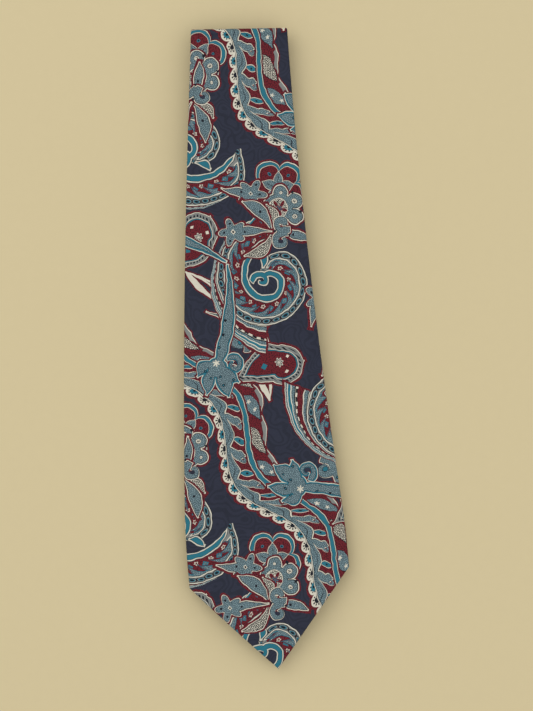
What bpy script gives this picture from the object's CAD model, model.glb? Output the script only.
"""A lined silk necktie with a paisley print, folded in four and laid face up on a plain floor."""

import math

import bmesh
import bpy
from mathutils import Matrix, Vector


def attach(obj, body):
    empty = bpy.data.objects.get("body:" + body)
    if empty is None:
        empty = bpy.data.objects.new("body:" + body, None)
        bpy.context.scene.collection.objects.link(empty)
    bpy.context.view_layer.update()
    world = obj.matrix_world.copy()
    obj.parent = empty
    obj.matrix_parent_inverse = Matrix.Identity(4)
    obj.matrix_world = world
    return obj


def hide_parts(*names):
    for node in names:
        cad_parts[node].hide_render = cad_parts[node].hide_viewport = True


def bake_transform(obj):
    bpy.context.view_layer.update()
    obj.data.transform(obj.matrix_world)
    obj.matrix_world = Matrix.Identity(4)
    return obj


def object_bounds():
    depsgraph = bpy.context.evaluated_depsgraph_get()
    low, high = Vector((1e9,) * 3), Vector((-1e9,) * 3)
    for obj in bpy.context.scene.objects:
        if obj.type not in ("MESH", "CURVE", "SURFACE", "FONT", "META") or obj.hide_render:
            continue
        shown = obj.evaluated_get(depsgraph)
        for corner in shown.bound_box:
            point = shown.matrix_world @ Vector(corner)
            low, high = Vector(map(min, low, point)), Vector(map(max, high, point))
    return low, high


bl_info = {
    "name": "Folded Necktie",
    "version": (1, 0, 0),
    "blender": (4, 5, 0),
    "location": "3D View > Sidebar > Necktie",
    "description": "Makes a printed silk necktie, folded in four, round its fixed frame",
    "category": "Add Mesh",
}

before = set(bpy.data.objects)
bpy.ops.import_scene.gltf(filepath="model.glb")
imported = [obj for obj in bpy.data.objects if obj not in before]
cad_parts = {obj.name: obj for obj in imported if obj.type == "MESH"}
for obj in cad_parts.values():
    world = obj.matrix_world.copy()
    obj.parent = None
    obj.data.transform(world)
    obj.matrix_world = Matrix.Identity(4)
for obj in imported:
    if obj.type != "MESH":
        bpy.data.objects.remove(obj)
FRAME_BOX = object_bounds()

MM = 0.001
CENTRE_X, CREST_Y = 2.3276, 187.9958      # where depth 0 on the centre line lies
FACE_LENGTH = 377.2
BOW = 4.1
FOLD_WIDTH, BLADE_WIDTH = 56.5, 94.7
BLADE_CORNER, CORNER_SKEW = 323.0, 2.0
TAPER_POWER, TAPER_RISE, SHOULDER = 1.1, 1.1, 40.0
NECK_WIDTH, INNER_FOLD_WIDTH, TAIL_WIDTH = 36.0, 41.0, 58.0
TAIL_CORNER, TAIL_TIP = 287.0, 316.0
BOTTOM_CREST = 350.0
WIDE_APEX, TAIL_APEX = 255.0, 226.0
HEM = 9.0
TUBE, LAP, LAP_EDGE, LAP_INNER = 2.55, 0.35, 2.0, -10.0
TOP_CENTRE, BOTTOM_CENTRE, INNER_CENTRE = 3.3, 347.275, 4.5
FRONT_JOIN, TAIL_JOIN = 262.0, 170.0
KEEPER_DEPTH, LABEL_DEPTH, CARE_DEPTH = 196.0, 160.0, 224.0
STITCH_STEP = 14.0


# ---------------------------------------------------------------- the tie's own shape


def mixed(a, b, share):
    return a + (b - a) * share


def eased(value, low, high):
    share = min(max((value - low) / (high - low), 0.0), 1.0)
    return share * share * (3 - 2 * share)


def side_at(depth):
    """The direction across the tie, to the right, square to its bowed centre line."""
    slope = 4 * BOW * (2 * depth / FACE_LENGTH - 1) / FACE_LENGTH
    return Vector((1, slope, 0)).normalized()


def centre_at(depth):
    swing = 2 * depth / FACE_LENGTH - 1
    return Vector((CENTRE_X - BOW * (1 - swing * swing), CREST_Y - depth, 0))


def wide_half(depth):
    share = max(depth, 0.0) / BLADE_CORNER
    rise = TAPER_RISE * share**TAPER_POWER
    opened = -math.log(math.exp(-SHOULDER * rise) + math.exp(-SHOULDER)) / SHOULDER
    return mixed(FOLD_WIDTH, BLADE_WIDTH, opened) / 2


def second_half(depth):
    return mixed(FOLD_WIDTH, NECK_WIDTH, depth / BOTTOM_CREST) / 2


def third_half(depth):
    return mixed(INNER_FOLD_WIDTH, NECK_WIDTH, depth / BOTTOM_CREST) / 2


def tail_half(depth):
    return mixed(INNER_FOLD_WIDTH, TAIL_WIDTH, depth / TAIL_CORNER) / 2


class Panel:
    """One flat length of the tie. Heights in it run from its back face to its front."""

    def __init__(self, body, half, low, front_up, top, bottom, corner=None, skew=0.0, apex=None):
        self.body, self.half_at, self.low, self.front_up = body, half, low, front_up
        self.top, self.bottom, self.corner, self.skew, self.apex = top, bottom, corner, skew, apex

    def half(self, depth):
        if self.corner is None or depth <= self.corner:
            return self.half_at(depth)
        share = (self.bottom - depth) / (self.bottom - self.corner)
        return max(self.half_at(self.corner) * share, 0.02)

    def lean(self, depth, x):
        """How far the two corners sit apart along the tie."""
        if not self.skew:
            return 0.0
        share = eased(depth, self.corner - 60, self.corner)
        if depth > self.corner:
            share = (self.bottom - depth) / (self.bottom - self.corner)
        return -self.skew * share * x / max(self.half(depth), 1.0)

    def settle(self, depth, x):
        """How far the cloth hangs down where nothing lies under it."""
        if self.body != "wide_panel":
            return 0.0
        beyond = max(abs(x) - mixed(26, 21, depth / FACE_LENGTH), 0.0) / 26
        corner = 3.4 * beyond**2 * eased(depth, 60, 300)
        tip = 4.6 * (max(depth - 340, 0.0) / 37) ** 2
        return corner + tip

    def place(self, depth, x, height):
        """A point of the panel in the frame, in metres."""
        depth = depth + self.lean(depth, x)
        point = centre_at(depth) + side_at(depth) * x
        rise = height if self.front_up else TUBE - height
        point.z = self.low + rise - self.settle(depth, x)
        return point * MM

    def body_shape(self, depth, x, height):
        """Soft fullness of the top layer between its edges, dying out at the folds."""
        if self.corner is None or not self.front_up:
            return 0.0
        share = height / TUBE
        ends = eased(depth, self.top, self.top + 45)
        width = max(self.half(depth), 1.0)
        full = max(1 - (x / width) ** 2, 0.0)
        wave = math.sin(depth * 0.043 + x * 0.021) + 0.7 * math.sin(depth * 0.019 - x * 0.055 + 1.3)
        return (0.42 * full + 0.16 * wave * full**0.5) * ends * share


WIDE = Panel(
    "wide_panel", wide_half, 10.4, True, TOP_CENTRE, FACE_LENGTH, BLADE_CORNER, CORNER_SKEW, WIDE_APEX
)
SECOND = Panel("second_panel", second_half, 6.35, False, TOP_CENTRE, BOTTOM_CENTRE)
THIRD = Panel("third_panel", third_half, 3.45, True, INNER_CENTRE, BOTTOM_CENTRE)
TAIL = Panel("tail_panel", tail_half, 0.0, False, INNER_CENTRE, TAIL_TIP, TAIL_CORNER, 0.0, TAIL_APEX)


class Fold:
    """Half a turn of the flat tube, from one panel to the next."""

    def __init__(self, above, below, depth, level, inner, front_out, upwards, crest):
        self.above, self.below, self.depth, self.level = above, below, depth, level
        self.inner, self.front_out, self.upwards, self.crest = inner, front_out, upwards, crest

    def half(self, turn):
        return mixed(self.above.half(self.depth), self.below.half(self.depth), turn)

    def place(self, turn, x, height):
        radius = self.inner + (height if self.front_out else TUBE - height)
        side = side_at(self.depth)
        outwards = Vector((-side.y, side.x, 0)) * (1 if self.upwards else -1)
        angle = turn * math.pi
        point = centre_at(self.depth) + side * x + outwards * (radius * math.sin(angle))
        point.z = self.level + radius * math.cos(angle)
        return point * MM


TOP = Fold(WIDE, SECOND, TOP_CENTRE, 9.65, 0.75, True, True, 3.3)
BOTTOM = Fold(SECOND, THIRD, BOTTOM_CENTRE, 6.175, 0.175, False, False, 2.725)
INNER = Fold(THIRD, TAIL, INNER_CENTRE, 3.0, 0.45, True, True, 3.0)

# How far along the cloth each panel starts, in mm, so that the print runs on round the folds.
CLOTH_TOP = -TOP_CENTRE
CLOTH_SECOND = CLOTH_TOP + math.pi * TOP.crest
CLOTH_BOTTOM = CLOTH_SECOND + BOTTOM_CENTRE - TOP_CENTRE
CLOTH_THIRD = CLOTH_BOTTOM + math.pi * BOTTOM.crest
CLOTH_INNER = CLOTH_THIRD + BOTTOM_CENTRE - INNER_CENTRE
CLOTH_TAIL = CLOTH_INNER + math.pi * INNER.crest


# ---------------------------------------------------------------- cloth meshes


def grid_piece(name, columns, rows, spot, outwards=None, close=False):
    """A grid of cloth with each crossing put in its place. spot gives the place and the cloth coordinates."""
    bm = bmesh.new()
    bmesh.ops.create_grid(bm, x_segments=columns, y_segments=rows, size=0.5)
    layer = bm.loops.layers.uv.new("Cloth")
    cloth = {}
    for vert in bm.verts:
        i = round((vert.co.x + 0.5) * columns)
        j = round((vert.co.y + 0.5) * rows)
        vert.co, cloth[vert] = spot(i, j)
    for face in bm.faces:
        face.smooth = True
        for loop in face.loops:
            loop[layer].uv = cloth[loop.vert]
    if close:
        bmesh.ops.remove_doubles(bm, verts=bm.verts, dist=1e-6)
        bmesh.ops.recalc_face_normals(bm, faces=bm.faces)
    elif outwards is not None:
        point, direction = outwards
        nearest = min(bm.faces, key=lambda f: (f.calc_center_median() - point).length_squared)
        nearest.normal_update()
        if nearest.normal.dot(direction) < 0:
            bmesh.ops.reverse_faces(bm, faces=bm.faces)
    return finished(name, bm)


def finished(name, bm):
    bm.normal_update()
    mesh = bpy.data.meshes.new(name)
    bm.to_mesh(mesh)
    bm.free()
    piece = bpy.data.objects.new(name, mesh)
    bpy.context.scene.collection.objects.link(piece)
    return piece


def give_thickness(piece, thickness):
    """Thickness goes in from the printed side."""
    wall = piece.modifiers.new("Thickness", "SOLIDIFY")
    wall.thickness = thickness * MM
    wall.offset = -1.0
    wall.use_rim = True
    return piece


def flap_edges(panel, depth):
    """Where the left and right flaps end on the back of a panel, and how much they overlap."""
    if panel.apex is None or depth <= panel.apex:
        lapped = 1.0 if panel.apex is None else eased(panel.apex - depth, 0, 10)
        return LAP_EDGE, mixed(LAP_EDGE, LAP_INNER + 3, lapped), lapped
    edge = panel.half_at(panel.corner) - HEM
    drop = panel.bottom - HEM * math.sqrt(2)
    if depth <= panel.corner:
        reach = edge * (depth - panel.apex) / (panel.corner - panel.apex)
    else:
        reach = max(edge * (drop - depth) / (drop - panel.corner), 0.0)
    start = LAP_EDGE * (1 - eased(depth, panel.apex, panel.apex + 12))
    return start - reach, start + reach, 0.0


def section(half, left, right, lapped, slant=1.0):
    """One row of the silk tube: offsets, heights and cloth widths, from hem to hem round the front."""
    hem, turn = 7.0, 0.21
    roll = min(1.1 * slant, half * 0.9)
    side = max(half - roll, 0.001)
    middle, reach = (TUBE + LAP) / 2, (TUBE - LAP) / 2
    left, right = max(left, -side), min(right, side)
    left_hem = min(hem, max(side + left, 0.0) * 0.8)
    right_hem = min(hem, max(side - right, 0.0) * 0.8)

    def left_level(x):
        return LAP * (1 - lapped * eased(x, LAP_INNER - 6, LAP_INNER))

    def right_level(x):
        return LAP + 0.45 * lapped * eased(-x, -6.0, -1.5)

    row = []
    level = left_level(left)
    for share in (0.0, 0.5, 1.0):
        row.append((left - left_hem * (1 - share), level + 2 * turn))
    for angle in (-45, 0, 45):
        a = math.radians(angle)
        row.append((left + turn * math.cos(a), level + turn - turn * math.sin(a)))
    for i in range(17):
        x = mixed(left, -side, i / 16)
        row.append((x, left_level(x)))
    for i in range(1, 8):
        a = math.radians(-90 + 180 * i / 8)
        row.append((-side - roll * math.cos(a), middle + reach * math.sin(a)))
    front = len(row)
    for i in range(49):
        row.append((mixed(-side, side, i / 48), TUBE))
    for i in range(1, 8):
        a = math.radians(90 - 180 * i / 8)
        row.append((side + roll * math.cos(a), middle + reach * math.sin(a)))
    for i in range(17):
        x = mixed(side, right, i / 16)
        row.append((x, right_level(x)))
    level = right_level(right)
    for angle in (45, 0, -45):
        a = math.radians(angle)
        row.append((right - turn * math.cos(a), level + turn - turn * math.sin(a)))
    for share in (1.0, 0.5, 0.0):
        row.append((right + right_hem * (1 - share), level + 2 * turn))

    widths = [0.0] * len(row)
    centre = front + 24
    for i in range(centre + 1, len(row)):
        widths[i] = widths[i - 1] + math.dist(row[i], row[i - 1])
    for i in range(centre - 1, -1, -1):
        widths[i] = widths[i + 1] - math.dist(row[i], row[i + 1])
    return [(x, height, width) for (x, height), width in zip(row, widths)]


def panel_silk(name, panel, depths, cloth_at, slants=(0.0, 0.0), thickness=0.2):
    """The silk of a panel, or of a length of it whose ends may be cut on the bias."""
    start, end = depths[0], depths[-1]
    rows = []
    for depth in depths:
        left, right, lapped = flap_edges(panel, depth)
        tipped = panel.corner is not None and depth > panel.corner
        slope = panel.half_at(panel.corner) / (panel.bottom - panel.corner) if tipped else 0.0
        rows.append(section(panel.half(depth), left, right, lapped, math.hypot(1, slope)))

    def spot(i, j):
        depth = depths[j]
        x, height, width = rows[j][i]
        share = (depth - start) / (end - start)
        lean = mixed(slants[0], slants[1], share) * x
        place = depth + lean
        seam = 0.0
        for slant, edge in zip(slants, (start, end)):
            if slant:
                seam = max(seam, 1 - eased(abs(depth - edge), 0, 1.6))
        middle = (TUBE + LAP) / 2
        if panel.corner is not None:
            left_over = min(max((panel.bottom - depth) / 1.3, 0.0), 1.0)
            height = middle + (height - middle) * math.sqrt(1 - (1 - left_over) ** 2)
        height = middle + (height - middle) * (1 - 0.16 * seam)
        height += panel.body_shape(depth, x, height)
        along, shift = cloth_at(place)
        return panel.place(place, x, height), ((width + shift) * MM, along * MM)

    middle = panel.place((start + end) / 2, 0, TUBE)
    piece = grid_piece(
        name, len(rows[0]) - 1, len(depths) - 1, spot,
        (middle, Vector((0, 0, 1 if panel.front_up else -1))),
    )
    give_thickness(piece, thickness)
    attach(piece, panel.body)
    return piece


def fold_silk(name, fold, cloth_start, shift, thickness=0.2):
    steps = 14
    rows = [section(fold.half(j / steps), LAP_EDGE, LAP_INNER + 3, 1.0) for j in range(steps + 1)]

    def spot(i, j):
        x, height, width = rows[j][i]
        along = cloth_start + math.pi * fold.crest * j / steps
        return fold.place(j / steps, x, height), ((width + shift[0]) * MM, (along + shift[1]) * MM)

    height = TUBE if fold.front_out else LAP
    outside = fold.place(0.5, 5.0, height)
    inside = fold.place(0.5, 5.0, TUBE - height + LAP)
    facing = outside - inside
    if not fold.front_out:
        outside, facing = inside, inside - outside
    piece = grid_piece(name, len(rows[0]) - 1, steps, spot, (outside, facing))
    give_thickness(piece, thickness)
    lie_across(piece, fold)
    return piece


def lie_across(piece, fold):
    """The piece follows the panel above the gap between two panels, and the one below it."""
    high = fold.above.low
    low = fold.below.low + TUBE
    point = centre_at(fold.depth)
    high * MM
    low * MM
    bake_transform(piece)


def layer_piece(name, panel, depths, low, high, inset, cloth=(0.0, 0.0)):
    """A flat layer inside a panel, between two heights, set in from the silk's edges."""
    columns = 24
    slope = 0.0
    if panel.corner is not None:
        slope = panel.half_at(panel.corner) / (panel.bottom - panel.corner)

    def spot(i, j):
        depth = depths[j]
        steep = math.hypot(1, slope) if panel.corner is not None and depth > panel.corner else 1.0
        half = max(panel.half(depth) - inset * steep, 0.15)
        x = mixed(-half, half, i / columns)
        height = low + panel.body_shape(depth, x, high)
        return panel.place(depth, x, height), ((x + cloth[0]) * MM, (cloth[1] - depth) * MM)

    middle = panel.place(depths[len(depths) // 2], 0, low)
    piece = grid_piece(
        name, columns, len(depths) - 1, spot,
        (middle, Vector((0, 0, -1 if panel.front_up else 1))),
    )
    give_thickness(piece, high - low)
    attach(piece, panel.body)
    return piece


def layer_fold(name, fold, low, high, inset):
    columns, steps = 16, 12

    def spot(i, j):
        half = fold.half(j / steps) - inset
        x = mixed(-half, half, i / columns)
        along = fold.crest * math.pi * j / steps
        return fold.place(j / steps, x, low), (x * MM, along * MM)

    outside = fold.place(0.5, 0, low)
    facing = fold.place(0.5, 0, 0) - fold.place(0.5, 0, TUBE)
    piece = grid_piece(name, columns, steps, spot, (outside, facing))
    give_thickness(piece, high - low)
    lie_across(piece, fold)
    return piece


def add_stitch(bm, panel, depth, x, height, long, wide, high, turn):
    """One pull of thread, lying on a panel and turned from the tie's length by an angle."""
    point = panel.place(depth, x, height)
    side = side_at(depth)
    angle = math.atan2(side.y, side.x) + math.radians(turn)
    shape = Matrix.Translation(point) @ Matrix.Rotation(angle, 4, "Z")
    shape = shape @ Matrix.Diagonal((wide * MM / 2, long * MM / 2, high * MM / 2, 1))
    made = bmesh.ops.create_uvsphere(bm, u_segments=8, v_segments=6, radius=1.0, matrix=shape, calc_uvs=False)
    for vert in made["verts"]:
        for face in vert.link_faces:
            face.smooth = True


def stitched(name, panel, stitches):
    """Threads of one seam, as one piece. Each stitch is depth, x, height, long, wide, high, turn."""
    bm = bmesh.new()
    for stitch in stitches:
        add_stitch(bm, panel, *stitch)
    piece = finished(name, bm)
    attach(piece, panel.body)
    return piece


def spread(start, end, step, extras=()):
    """Depths from start to end, about a step apart, with every extra depth among them."""
    count = max(round((end - start) / step), 1)
    depths = [start, end] + [e for e in extras if start < e < end]
    for i in range(1, count):
        depth = mixed(start, end, i / count)
        if min(abs(depth - other) for other in depths) > step * 0.3:
            depths.append(depth)
    return sorted(depths)


# ---------------------------------------------------------------- numbers and colours in nodes


def linear(colour):
    """A screen colour, 0 to 255, as the light it stands for."""
    parts = [c / 255 for c in colour]
    return tuple(p / 12.92 if p <= 0.04045 else ((p + 0.055) / 1.055) ** 2.4 for p in parts) + (1.0,)


def join(tree, value, socket):
    if isinstance(value, Wire):
        value = value.socket
    if isinstance(value, bpy.types.NodeSocket):
        tree.links.new(value, socket)
    else:
        socket.default_value = value


class Wire:
    """A number that changes over the cloth, carried from node to node in one tree."""

    def __init__(self, tree, socket):
        self.tree, self.socket = tree, socket

    def sum_of(self, operation, *values):
        node = self.tree.nodes.new("ShaderNodeMath")
        node.operation = operation
        for value, socket in zip(values, node.inputs):
            join(self.tree, value, socket)
        return Wire(self.tree, node.outputs[0])

    def __add__(self, other):
        return self.sum_of("ADD", self, other)

    __radd__ = __add__

    def __sub__(self, other):
        return self.sum_of("SUBTRACT", self, other)

    def __rsub__(self, other):
        return self.sum_of("SUBTRACT", other, self)

    def __mul__(self, other):
        return self.sum_of("MULTIPLY", self, other)

    __rmul__ = __mul__

    def __truediv__(self, other):
        return self.sum_of("DIVIDE", self, other)

    def __neg__(self):
        return self.sum_of("MULTIPLY", self, -1.0)

    def __gt__(self, other):
        return self.sum_of("GREATER_THAN", self, other)

    def __lt__(self, other):
        return self.sum_of("LESS_THAN", self, other)

    def abs(self):
        return self.sum_of("ABSOLUTE", self)

    def sin(self):
        return self.sum_of("SINE", self)

    def cos(self):
        return self.sum_of("COSINE", self)

    def exp(self):
        return self.sum_of("EXPONENT", self)

    def log(self):
        return self.sum_of("LOGARITHM", self, math.e)

    def sqrt(self):
        return self.sum_of("SQRT", self)

    def round(self):
        return self.sum_of("ROUND", self)

    def low(self, other):
        return self.sum_of("MINIMUM", self, other)

    def high(self, other):
        return self.sum_of("MAXIMUM", self, other)

    def power(self, other):
        return self.sum_of("POWER", self, other)

    def wrap(self, low, high):
        return self.sum_of("WRAP", self, high, low)

    def angle(self, along):
        return self.sum_of("ARCTAN2", self, along)

    def ramp(self, low, high):
        """From 0 at low to 1 at high, held at both ends."""
        return ((self - low) * (1 / (high - low))).high(0.0).low(1.0)

    def smooth(self, low, high):
        share = self.ramp(low, high)
        return share * share * (3.0 - share * 2.0)


class Dye:
    """Lays colours and textures in one node tree."""

    def __init__(self, tree):
        self.tree = tree

    def mix(self, under, over, mask):
        node = self.tree.nodes.new("ShaderNodeMix")
        node.data_type = "RGBA"
        join(self.tree, mask, node.inputs[0])
        join(self.tree, under, node.inputs[6])
        join(self.tree, over, node.inputs[7])
        return node.outputs[2]

    def point(self, x, y):
        node = self.tree.nodes.new("ShaderNodeCombineXYZ")
        join(self.tree, x, node.inputs[0])
        join(self.tree, y, node.inputs[1])
        return node.outputs[0]

    def texture(self, name, x, y, build):
        """One value from a texture in a node group of its own, built once."""
        group = bpy.data.node_groups.get(name)
        if group is None:
            group = bpy.data.node_groups.new(name, "ShaderNodeTree")
            for socket, way in (("Across", "INPUT"), ("Along", "INPUT"), ("Value", "OUTPUT")):
                group.interface.new_socket(socket, in_out=way, socket_type="NodeSocketFloat")
            given = group.nodes.new("NodeGroupInput").outputs
            place = Dye(group).point(Wire(group, given["Across"]), Wire(group, given["Along"]))
            result = build(group, place)
            group.links.new(result, group.nodes.new("NodeGroupOutput").inputs["Value"])
        node = self.tree.nodes.new("ShaderNodeGroup")
        node.node_tree = group
        join(self.tree, x, node.inputs["Across"])
        join(self.tree, y, node.inputs["Along"])
        return Wire(self.tree, node.outputs["Value"])

    def noise(self, x, y, scale, detail=2.0, rough=0.5):
        def build(group, place):
            node = group.nodes.new("ShaderNodeTexNoise")
            node.noise_dimensions = "2D"
            group.links.new(place, node.inputs["Vector"])
            node.inputs["Scale"].default_value = scale
            node.inputs["Detail"].default_value = detail
            node.inputs["Roughness"].default_value = rough
            return node.outputs["Fac"]

        return self.texture(f"Noise {scale:g} {detail:g} {rough:g}", x, y, build)

    def cells(self, x, y, scale, feature="F1"):
        def build(group, place):
            node = group.nodes.new("ShaderNodeTexVoronoi")
            node.voronoi_dimensions = "2D"
            node.feature = "DISTANCE_TO_EDGE" if feature == "edge" else "F1"
            group.links.new(place, node.inputs["Vector"])
            node.inputs["Scale"].default_value = scale
            return node.outputs["Distance"]

        found = self.texture(f"Cells {scale:g} {feature}", x, y, build)
        return found * 2.0 if feature == "edge" else found

    def motif(self, name, draw, under, x, y, inks):
        """Draws a motif over what lies under it, from a node group built once."""
        group = bpy.data.node_groups.get(name)
        if group is None:
            group = bpy.data.node_groups.new(name, "ShaderNodeTree")
            group.interface.new_socket("Under", in_out="INPUT", socket_type="NodeSocketColor")
            group.interface.new_socket("Across", in_out="INPUT", socket_type="NodeSocketFloat")
            group.interface.new_socket("Along", in_out="INPUT", socket_type="NodeSocketFloat")
            for ink in inks:
                group.interface.new_socket(ink, in_out="INPUT", socket_type="NodeSocketColor")
            group.interface.new_socket("Colour", in_out="OUTPUT", socket_type="NodeSocketColor")
            given = group.nodes.new("NodeGroupInput").outputs
            inside = {ink: given[ink] for ink in inks}
            made = draw(
                Dye(group), given["Under"], Wire(group, given["Across"]), Wire(group, given["Along"]), inside
            )
            result = group.nodes.new("NodeGroupOutput")
            group.links.new(made, result.inputs["Colour"])
        node = self.tree.nodes.new("ShaderNodeGroup")
        node.node_tree = group
        join(self.tree, under, node.inputs["Under"])
        join(self.tree, x, node.inputs["Across"])
        join(self.tree, y, node.inputs["Along"])
        for ink, colour in inks.items():
            join(self.tree, colour, node.inputs[ink])
        return node.outputs["Colour"]


# Flat sizes declared for the short folds, in metres
FOLD_FLAT = 0.0104                        # how long a fold's silk is said to be
FOLD_SHARE = 0.62                         # how much of that flat it fills, fitted to the modelled area


# ---------------------------------------------------------------- the paisley print


WAVE = 90.0                               # one wave of the garlands
REPEAT_ALONG, REPEAT_ACROSS = 2 * WAVE, 124.0
REPEAT_TURN = 60.0                        # degrees from straight across down to the way the print runs
GARLAND_SWEEP = 8.0                       # how far a garland swings to each side
PRINT_WANDER = 1.6                        # how widely the print's lines stray, in mm


def set_in(S, T, s0, t0, turn, flip=1.0):
    """Coordinates of a motif that stands at s0, t0 in every repeat and is turned by an angle."""
    ds = (S - s0).wrap(-REPEAT_ALONG / 2, REPEAT_ALONG / 2)
    dt = (T - t0).wrap(-REPEAT_ACROSS / 2, REPEAT_ACROSS / 2)
    c, n = math.cos(math.radians(turn)), math.sin(math.radians(turn))
    return ds * c + dt * n, (dt * c - ds * n) * flip


def in_turn(s0, t0, turn):
    """A place, and its mirror image half a repeat further along."""
    return (s0, t0, turn, 1.0), (s0 + REPEAT_ALONG / 2, t0, 180.0 - turn, -1.0)


def turned(x, y, angle):
    c, n = math.cos(math.radians(angle)), math.sin(math.radians(angle))
    return x * c + y * n, y * c - x * n


def leaf(x, y, length, width, bend=0.0, fat=1.0):
    """How deep a point lies inside a leaf that grows from the origin along x."""
    share = x.ramp(0, length)
    half = (share.power(fat) * math.pi).sin() * width
    middle = share * (1 - share) * (4 * bend)
    return (half - (y - middle).abs()).low(x * 0.8).low((length - x) * 0.8)


def disc(x, y, radius):
    return radius - (x * x + y * y).sqrt()


def flower(x, y, radius, petals, depth=0.3):
    return (y.angle(x) * petals).cos() * (radius * depth) + radius * (1 - depth) - (x * x + y * y).sqrt()


def scroll(x, y, start, pace, turns, wide, thin):
    """How deep a point lies inside a stroke that winds in towards the origin."""
    radius = (x * x + y * y).sqrt().high(0.05)
    angle = y.angle(x)
    wound = (radius / start).log() * (-1 / pace)
    phi = angle + ((wound - angle) * (0.5 / math.pi)).round() * (2 * math.pi)
    end = turns * 2 * math.pi
    held = phi.high(0.0).low(end)
    line = (held * -pace).exp() * start
    return held * ((thin - wide) / end) + wide - (radius - line).abs() - (phi - held).abs() * line


def laid_on(k, under, depth, bands):
    """Nested outlines: each colour covers all that lies deeper than its depth."""
    for level, colour in bands:
        under = k.mix(under, colour, depth > level)
    return under


def edged(k, under, depth, fill, g, halo=1.6):
    """A fill in a dark and a cream outline, on a burgundy halo."""
    return laid_on(
        k, under, depth, [(-halo, g["Leaf red"]), (-0.55, g["Cream"]), (-0.1, g["Dark"]), (0.22, fill)]
    )


def dots(k, under, x, y, places, radius, colour):
    for px, py in places:
        under = k.mix(under, colour, disc(x - px, y - py, radius) > 0)
    return under


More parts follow.
